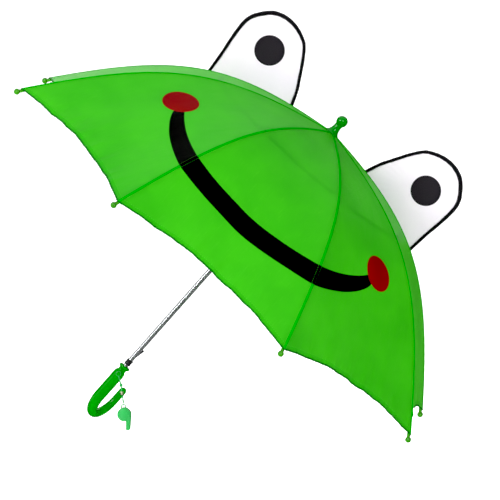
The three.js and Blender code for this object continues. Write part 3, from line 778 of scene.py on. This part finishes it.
def half_gore(gore, side, part):
    """One half of a gore above or below its rib's elbow, riding on that part of the rib."""
    upper = part == "upper"
    rib = gore if side < 0 else gore % RIBS + 1
    columns, rows = UPPER_GRID if upper else LOWER_GRID
    points, uv, normals = [], [], []
    fields = cloth_fields(gore in FACE_GORES)
    lap_rows = 2 if upper else 0
    for row in range(rows + lap_rows + 1):
        lap = max(0, row - rows)
        for column in range(-2, columns + 1):
            across = side * (1 - max(column, 0) / columns)
            first, last = (CROWN_ARC, ELBOW_ARC) if upper else (ELBOW_ARC, hem_arc(across) - HEM_SHORT)
            arc = first + (last - first) * min(row, rows) / rows
            half = half_width(arc)
            # Past its last row the upper half laps under the lower one, but not beside the seam.
            arc += ELBOW_LAP * max(0, lap - 1) * min(1, (1 - abs(across)) * half / LAP_TAPER)
            arc += LAP_START * lap
            depth = -LAP_DEPTH * min(1, lap)
            on = (gore, arc, across)
            if column < 0:
                # The seam allowance lies under the next gore.
                tuck = min(SEAM_ALLOWANCE if column == -2 else SEAM_START, 0.5 * half)
                on = ((gore - 1 + side) % RIBS + 1, arc, -side * (1 - tuck / half))
                depth -= LAP_DEPTH
            point = cloth(*on, depth)
            points.append(point)
            normals.append(cloth_normal(*on))
            uv.append((across * half * MM, arc * MM))
            fields["seam"].append((1 - abs(across)) * half * MM)
            fields["hem"].append((hem_arc(across) - arc) * MM)
            if gore in FACE_GORES:
                for name, value in face_fields(gore, arc, across, point).items():
                    fields[name].append(value)
    body = rib_body(rib, part)
    look = face_cloth if gore in FACE_GORES else canopy_cloth
    name = f"gore_{gore}_{part}_{'left' if side < 0 else 'right'}"
    faces = grid_faces(columns + 2, rows + lap_rows, flip=side < 0)
    made = piece(name, points, faces, body, "canopy_fabric", look, uv=uv, fields=fields, normals=normals)
    wide = half_width(ELBOW_ARC if upper else RIB_ARC) * MM
    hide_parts(f"gore_{gore}")
    fold_with_rib(made, rib, side, UPPER_SQUASH if upper else LOWER_SQUASH)
    return made


SEAM_HALF = 2.5
SEAM_DEPTH = 0.5
SEAM_ROWS = 60
HEM_STEPS = 80
# Across the seam and the hem: (offset along the cloth, lift off it).
SEAM_SECTION = [(-SEAM_HALF, 0.05), (-2.1, 0.36), (-1.2, 0.5), (0, 0.56), (1.2, 0.5), (2.1, 0.36),
                (SEAM_HALF, 0.05)]
HEM_SECTION = [(-2.3, 0.08), (-2.0, 0.4), (-1.2, 0.55), (-0.4, 0.5), (0.3, 0.2), (0.3, -0.3), (-0.4, -0.6),
               (-1.2, -0.65), (-2.0, -0.5), (-2.3, -0.2)]


def seam_strip(rib, part):
    """The felled seam over a rib, from the crown to its elbow or from there to its tip."""
    upper = part == "upper"
    before, after = (rib - 1 or RIBS), rib
    first, last = (CROWN_ARC + 4, ELBOW_ARC) if upper else (ELBOW_ARC, RIB_ARC - 1)
    points, uv = [], []
    face = before in FACE_GORES or after in FACE_GORES
    fields = cloth_fields(face)
    for row in range(SEAM_ROWS + 1):
        arc = first + (last - first) * row / SEAM_ROWS
        half = half_width(arc)
        for offset in [offset for offset, _ in SEAM_SECTION] + [0]:
            uv.append((offset * MM, arc * MM))
            fields["seam"].append(0.0)
            fields["hem"].append((RIB_ARC - arc) * MM)
            if face:
                for name, value in face_fields(after, arc, -1, cloth(after, arc, -1)).items():
                    fields[name].append(value)
        squeeze = min(1.0, half / (2 * SEAM_HALF))
        for offset, lift in SEAM_SECTION:
            lift += 0.07 * sin(arc / 1.9 + 2.2 * offset) * (1 - abs(offset) / SEAM_HALF)
            gore, edge = (before, 1) if offset <= 0 else (after, -1)
            points.append(cloth(gore, arc, edge + offset * squeeze / half, lift))
        points.append(cloth(after, arc, -1, -SEAM_DEPTH))
    faces = closed_faces(len(SEAM_SECTION) + 1, SEAM_ROWS, flip=True)
    body = rib_body(rib, part)
    look = face_cloth if face else canopy_cloth
    return piece(f"seam_{rib}_{part}", points, faces, body, "canopy_fabric", look, uv=uv, fields=fields)


def hem_band(gore, side):
    """The turned hem of half a gore."""
    rib = gore if side < 0 else gore % RIBS + 1
    points = []
    for step in range(HEM_STEPS + 1):
        across = side * (1 - step / HEM_STEPS)
        pinch = 0.22 * sin(half_width(RIB_ARC) * across / 1.15 + gore) * (1 - across ** 8)
        for inset, lift in HEM_SECTION:
            lift += pinch if lift > 0 else -pinch
            points.append(cloth(gore, hem_arc(across) + inset, across, lift))
    faces = closed_faces(len(HEM_SECTION), HEM_STEPS, flip=side > 0)
    name = f"hem_{gore}_{'left' if side < 0 else 'right'}"
    made = piece(name, points, faces, rib_body(rib), "canopy_fabric", binding_cloth)
    fold_with_rib(made, rib, side, LOWER_SQUASH)
    return made


for gore in range(1, RIBS + 1):
    for side in (-1, 1):
        half_gore(gore, side, "upper")
        half_gore(gore, side, "lower")
        hem_band(gore, side)
for rib in range(1, RIBS + 1):
    seam_strip(rib, "upper")
    seam_strip(rib, "lower")

# --- Shaft
SHAFT = 3.5
SHAFT_TOP, SHAFT_END = 12, -462
SHAFT_STEPS = 40
SHAFT_RISE = (SHAFT_TOP - SHAFT_END) / SHAFT_STEPS
shaft_line = [(0, 0, SHAFT_END + SHAFT_RISE * step) for step in range(SHAFT_STEPS + 1)]
shaft = swept("shaft", shaft_line, [SHAFT] * len(shaft_line), "root", "shaft_chrome", chrome, sides=48)
SLOT_BELOW, SLOT_ABOVE, SLOT_HALF = 9, 8, 1.2
slots = []
for catch in ("top_catch", "bottom_catch"):
    low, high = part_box(catch)
    z = ((low + high) / 2 - APEX).dot(UP) / MM
    slots.append(block((0.5, -SLOT_HALF, z - SLOT_BELOW), (SHAFT + 2, SLOT_HALF, z + SLOT_ABOVE), at))
carve(shaft, slots)
soften(shaft)
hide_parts("shaft_tube")

# --- Rib tips
TIP = [(1.3, -11), (2.1, -10.6), (2.3, -8), (2.35, -4), (2.0, -3.0)]
TIP_BALL = 4.2
TIP_REACH, TIP_DROP = 383.85, 229.88
for step in range(11):
    rise = radians(-52 + step * 14)
    TIP.append((TIP_BALL * cos(rise), TIP_BALL * sin(rise)))
TIP.append((0.0, TIP_BALL))
for rib in range(1, RIBS + 1):
    turn = rib_azimuth(rib)
    slope = slope_at(RIB_ARC)
    heading = outward(turn) * cos(slope) + Vector((0, 0, -sin(slope)))
    centre = outward(turn) * TIP_REACH + Vector((0, 0, -TIP_DROP))
    tip = turned(f"tip_ball_{rib}", TIP, centre, heading, rib_body(rib), "tip_plastic", tip_green, sides=28)
    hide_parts(f"rib_tip_{rib}")

# --- Ferrule
FERRULE = [(9.8, -1.6), (10.6, -1.1), (10.4, -0.5), (9.0, 0.6), (7.6, 2.2), (6.7, 4.2), (6.0, 6.4),
           (5.6, 8.8), (5.4, 11), (5.5, 12.6)]
FERRULE_BALL = 8
BALL_RISE = 20
for step in range(15):
    rise = radians(-44 + step * 9.4)
    FERRULE.append((FERRULE_BALL * cos(rise), BALL_RISE + FERRULE_BALL * sin(rise)))
FERRULE.append((0, BALL_RISE + FERRULE_BALL))
ferrule = turned("ferrule", FERRULE, (0, 0, 0), (0, 0, 1), "root", "handle_plastic", ferrule_green)
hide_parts("ferrule_cap")

# --- Handle
HANDLE_TOP = 435
HOOK_TURN = radians(21)
HOOK_RADIUS = 27.5
BEND_DEPTH = 490
HOOK_RETURN = 23
LEG = 8
HOOK_END = 5.3
hook = Vector((sin(HOOK_TURN), cos(HOOK_TURN), 0))
# The collar, the neck and the leg, as (distance below the top, radius); then the rounded end, as
# (distance before the end, radius).
LEG_STATIONS = [(0.0, 6.6), (0.25, 7.4), (1, 8), (2, 8.15), (3, 8), (3.7, 7.2), (4.6, 6.2), (6, 5.65),
                (8, 5.75), (9.4, 6.4), (10.8, 7.3), (12.4, 7.8), (14.5, 8), (20, 8), (30, 8), (38, 8)]
END_STATIONS = [(18, 5.3), (13, 5.3), (8, 5.25), (5.5, 5.1), (4, 4.85), (2.5, 4.3), (1.3, 3.4), (0.4, 2.1),
                (0, 0.8)]
handle_line, handle_radii = [], []


def handle_station(reach, z, radius):
    handle_line.append(tuple(hook * reach + Vector((0, 0, z))))
    handle_radii.append(radius)


handle_station(0, -HANDLE_TOP + 0.30, 3.6)
handle_station(0, -HANDLE_TOP + 0.25, 4.6)
for drop, radius in smooth_line(LEG_STATIONS, 64):
    handle_station(0, -HANDLE_TOP - drop, radius)
BEND_STEPS = 44
for step in range(BEND_STEPS + 1):
    share = step / BEND_STEPS
    turn = pi * share
    handle_station(HOOK_RADIUS * (1 - cos(turn)), -BEND_DEPTH - HOOK_RADIUS * sin(turn),
                   LEG + (HOOK_END - LEG) * share)
for before, radius in END_STATIONS:
    handle_station(2 * HOOK_RADIUS, -BEND_DEPTH + HOOK_RETURN - before, radius)
grip = swept("grip", handle_line, handle_radii, "root", "handle_plastic", handle_green, sides=40)
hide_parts("handle")

PEG_OUTLINE = [(1.8, 0), (1.8, 4.9), (2.6, 5.0), (2.9, 5.3), (2.9, 6.1), (2.6, 6.7), (1.8, 7.1), (0, 7.2)]
peg = turned("peg", PEG_OUTLINE, (0, -LEG + 3, -PEG_DEPTH), (0, -1, 0), "root", "handle_plastic",
             handle_green)
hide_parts("lanyard_peg")

STOP = [(3.6, 0), (4.3, 0), (4.6, 0.3), (4.65, 1.6), (4.4, 2.1), (4.4, 5.9), (4.65, 6.4), (4.6, 7.7),
        (4.3, 8), (3.6, 8)]
stop = turned("stop_collar", STOP, (0, 0, -HANDLE_TOP + 3), (0, 0, 1), "root", "black_plastic",
              black_plastic)
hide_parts("stop_ring")

# --- Eye flaps
EYE_PLANE = 125
# The right eye from its outer foot over the top to its inner foot: (distance to the side, height).
EYE_OUTLINE = [(187, -63), (191, -37), (195, -8), (197, 14), (196, 29), (190, 42), (176, 58), (160, 65),
               (145, 66), (132, 63.5), (121, 59), (112, 53), (100, 37), (87, 15), (77, -3), (66, -20)]
EYE_CENTRE = (143, 6)
EYE_CROWN = 2.2
EYE_GATHER = 3.2
EYE_RINGS = 16
PIPING, PIPING_SWELL = 2.3, 0.8
PIPING_STEPS = 140
EYE_FOLD = 217
PUPILS = {1: (150.5, 14.5), -1: (144.0, 16.0)}
PUPIL_RADIUS = 21.2
PUPIL_LIFT, PUPIL_EDGE_LIFT, PUPIL_UNDER = 0.7, 0.5, 0.05
PUPIL_RINGS, PUPIL_SPOKES = 10, 72
THREAD = 0.28
THREAD_LIFT = 0.75
THREAD_INSET = 1.6
THREAD_STEPS = 160


def canopy_height(x, y):
    """The cloth's height above a point on the plan."""
    turn = atan2(x, -y)
    nearest = floor((turn + pi) / (2 * HALF_GORE) + 0.5)
    gore = (nearest - 1) % RIBS + 1
    off = turn - gore_azimuth(gore)
    across = tan(off) / tan(HALF_GORE)
    reach = hypot(x, y)
    low, high = 0.0, float(RIB_ARC)
    for _ in range(40):
        middle = (low + high) / 2
        point = cloth(gore, middle, max(-1, min(1, across)))
        low, high = (middle, high) if hypot(point.x, point.y) < reach else (low, middle)
    return cloth(gore, low, max(-1, min(1, across))).z


FOOT_STEPS = 26
foot = []
for step in range(FOOT_STEPS + 1):
    x = EYE_OUTLINE[-1][0] + (EYE_OUTLINE[0][0] - EYE_OUTLINE[-1][0]) * step / FOOT_STEPS
    foot.append((x, canopy_height(x, EYE_PLANE) + 1.0))
eye_stations = [foot[-1]] + EYE_OUTLINE[1:-1] + [foot[0]]
eye_loop = smooth_line(eye_stations, 90) + foot[1:-1]


def eye_crown(share):
    """The padding's depth at a share of the way from the middle of an eye to its edge."""
    return EYE_CROWN * max(0.0, 1 - share ** 2.4) ** 0.55


def eye_depth(x, z):
    """How far the padded flap stands off its middle plane."""
    angle = atan2(z - EYE_CENTRE[1], x - EYE_CENTRE[0])
    reach = hypot(x - EYE_CENTRE[0], z - EYE_CENTRE[1])
    for (ax, az), (bx, bz) in zip(eye_loop, eye_loop[1:] + eye_loop[:1]):
        ax, az, bx, bz = ax - EYE_CENTRE[0], az - EYE_CENTRE[1], bx - EYE_CENTRE[0], bz - EYE_CENTRE[1]
        cross = (bx - ax) * sin(angle) - (bz - az) * cos(angle)
        if abs(cross) < 1e-9:
            continue
        share = (az * cos(angle) - ax * sin(angle)) / cross
        hit = (ax + (bx - ax) * share) * cos(angle) + (az + (bz - az) * share) * sin(angle)
        if -1e-6 <= share <= 1 + 1e-6 and hit > 0:
            return eye_crown(reach / hit)
    return 0.0


def eye_flap(side):
    """One eye: two layers of white cloth sewn into a black piping, with a pupil sewn on the front."""
    name = "right_eye" if side > 0 else "left_eye"
    points, uv, rim_gap = [], [], []
    for ring in range(2 * EYE_RINGS + 1):
        t = max(0.03, 1 - abs(1 - ring / EYE_RINGS))
        outer = -1 if ring < EYE_RINGS else 1
        for i, (ox, oz) in enumerate(eye_loop):
            x, z = EYE_CENTRE[0] + (ox - EYE_CENTRE[0]) * t, EYE_CENTRE[1] + (oz - EYE_CENTRE[1]) * t
            gathers = EYE_GATHER * t ** 5 * (1 - t) * sin(i * 1.9 + 0.6 * sin(i * 0.37))
            points.append((side * x, EYE_PLANE + outer * (eye_crown(t) + gathers), z))
            uv.append((x * MM, z * MM))
            rim_gap.append((1 - t) * 0.045)
    faces = closed_faces(len(eye_loop), 2 * EYE_RINGS, flip=side > 0)
    made = piece(f"{name}_flap", points, faces, name, "eye_fabric", eye_white, uv=uv,
                 fields={"seam": rim_gap, "hem": [0.05] * len(points)})
    squash_eye(made, side)
    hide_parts(name)
    line = [(side * x, EYE_PLANE, z) for x, z in smooth_line(eye_stations, PIPING_STEPS)]
    radii = [PIPING + PIPING_SWELL * sin(pi * min(1, 1.25 * i / PIPING_STEPS)) ** 2 + 0.1 * sin(i * 0.9)
             for i in range(len(line))]
    piping = swept(f"{name}_piping", line, radii, name, "eye_piping", eye_piping, sides=16)
    squash_eye(piping, side)
    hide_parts(f"{name}_hoop")
    px, pz = PUPILS[side]
    points = []
    for ring in range(PUPIL_RINGS + 3):
        lift = PUPIL_LIFT if ring < PUPIL_RINGS else PUPIL_EDGE_LIFT if ring == PUPIL_RINGS else PUPIL_UNDER
        swell = PUPIL_RADIUS * (ring / PUPIL_RINGS if ring <= PUPIL_RINGS else 1.012)
        for turn in turns(PUPIL_SPOKES):
            x, z = px + swell * cos(turn), pz + swell * sin(turn)
            points.append((side * x, EYE_PLANE - eye_depth(x, z) - lift, z))
    faces = grid_faces(PUPIL_SPOKES, PUPIL_RINGS + 2, wrap=True, flip=side > 0)
    pupil = piece(f"{name}_pupil", points, faces, name, "eye_piping", pupil_satin)
    squash_eye(pupil, side)
    line = []
    for i in range(THREAD_STEPS + 1):
        turn = 2 * pi * i / THREAD_STEPS
        x = px + (PUPIL_RADIUS - THREAD_INSET) * cos(turn)
        z = pz + (PUPIL_RADIUS - THREAD_INSET) * sin(turn)
        weave = 0.16 * cos(i * pi / 1.6)
        line.append((side * x, EYE_PLANE - THREAD_LIFT - eye_depth(x, z) + weave, z))
    thread = swept(f"{name}_thread", line, [THREAD] * len(line), name, "eye_piping", eye_piping, sides=6)
    squash_eye(thread, side)


def squash_eye(obj, side):
    """Works out a point on the plane that a flap lies against on the closed canopy, which isn't used, and
    gives the piece its own copy of its mesh.
    """
    axis = Vector((side, 1, 0)).normalized()
    at(axis * EYE_FOLD)
    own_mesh(obj)


eye_flap(1)
eye_flap(-1)

# --- Studio
FLOOR_DROP = 0.3
FLOOR_GLOW = 0.64
FLOOR_RADIUS = 40
WALL_TOP = 60
world = bpy.data.worlds.new("studio")
bpy.context.scene.world = world
world.use_nodes = True
sky = world.node_tree
from_where = sky.nodes.new("ShaderNodeTexCoord").outputs["Generated"]


def sky_share(direction, start, end, low, high):
    """How bright the studio is towards a direction, eased from low to high."""
    facing = sky.nodes.new("ShaderNodeVectorMath")
    facing.operation = "DOT_PRODUCT"
    facing.inputs[1].default_value = Vector(direction).normalized()
    sky.links.new(from_where, facing.inputs[0])
    ramp = sky.nodes.new("ShaderNodeMapRange")
    ramp.interpolation_type = "SMOOTHSTEP"
    for socket, number in zip(ramp.inputs[1:5], (start, end, low, high)):
        socket.default_value = number
    sky.links.new(facing.outputs["Value"], ramp.inputs[0])
    return ramp.outputs[0]


brightness = sky.nodes.new("ShaderNodeMath")
brightness.operation = "MULTIPLY"
sky.links.new(sky_share((0.45, -1.0, -0.12), 0.2, 0.85, 1.0, 0.12), brightness.inputs[0])
sky.links.new(sky_share((-0.25, 0.0, 1.0), -0.05, 0.6, 0.05, 0.85), brightness.inputs[1])
sky.links.new(brightness.outputs[0], sky.nodes["Background"].inputs["Strength"])
sky.nodes["Background"].inputs["Color"].default_value = (1.0, 1.0, 1.0, 1)
view = bpy.context.scene.view_settings
view.view_transform = "Standard"
view.use_curve_mapping = True
view.curve_mapping.black_level = (0.012, 0.012, 0.012)
view.curve_mapping.white_level = (0.95, 0.95, 0.95)
view.curve_mapping.update()


def area_light(name, spot, size, power):
    light = bpy.data.lights.new(name, "AREA")
    light.shape = "DISK"
    light.size = size
    light.energy = power
    made = linked(name, light)
    made.location = spot
    made.rotation_euler = (AIM - Vector(spot)).to_track_quat("-Z", "Y").to_euler()


area_light("key", (-2.4, -3.6, 2.6), 1.5, 132)
area_light("fill", (2.4, -4.6, 1.8), 1.5, 88)
area_light("rim", (-1.2, 3.2, 2.2), 1.4, 70)


def backdrop(name, points, faces, tones, grain, unseen_by, **values):
    """A staged sheet around the umbrella that some rays pass by, mottled between two greys."""
    look = Look(name, Roughness=0.9, **values)
    look.set(Base_Color=look.mix(look.noise(grain, 2), *[(tone, tone, tone, 1) for tone in tones]))
    mesh = bpy.data.meshes.new(name)
    mesh.from_pydata(points, [], faces)
    mesh.materials.append(look.material)
    made = linked(name, mesh)
    for ray in unseen_by:
        setattr(made, f"visible_{ray}", False)


WHITES = (0.95, 0.98)
BLACKS = (0.004, 0.008)
FLOOR_SIDES = 64
floor_level = cad_bounds[0][2] - FLOOR_DROP
floor_edge = [(FLOOR_RADIUS * cos(turn), FLOOR_RADIUS * sin(turn)) for turn in turns(FLOOR_SIDES)]
backdrop("studio_floor", [(x, y, floor_level) for x, y in floor_edge], [tuple(range(FLOOR_SIDES))],
         WHITES, 3, ["glossy"], Specular_IOR_Level=0.05, Emission_Color=(1, 1, 1, 1),
         Emission_Strength=FLOOR_GLOW)

# The pale wall around the floor is seen, but lights nothing.
wall_points = [(x, y, z) for z in (floor_level, WALL_TOP) for x, y in floor_edge]
wall_faces = grid_faces(FLOOR_SIDES, 1, wrap=True) + [tuple(range(FLOOR_SIDES, 2 * FLOOR_SIDES))]
backdrop("studio_wall", wall_points, wall_faces, WHITES, 0.2, ["glossy", "diffuse", "transmission", "shadow"],
         Emission_Color=(1, 1, 1, 1), Emission_Strength=1.0)

# A dark card behind the umbrella gives the chrome its dark edge. It shows only in reflections.
CARD_WIDE, CARD_TALL = 1.5, 1.0
card_middle = Vector((-1.12, 1.12, 1.17))
card_out = (AIM - card_middle).normalized()
card_up = (UP - card_out * UP.dot(card_out)).normalized()
card_side = card_out.cross(card_up)
card_corners = [card_middle + card_side * x * CARD_WIDE + card_up * z * CARD_TALL
                for x, z in ((-1, -1), (1, -1), (1, 1), (-1, 1))]
backdrop("dark_card", card_corners, [(0, 1, 2, 3)], BLACKS, 20,
         ["camera", "diffuse", "transmission", "shadow"], Specular_IOR_Level=0.0)
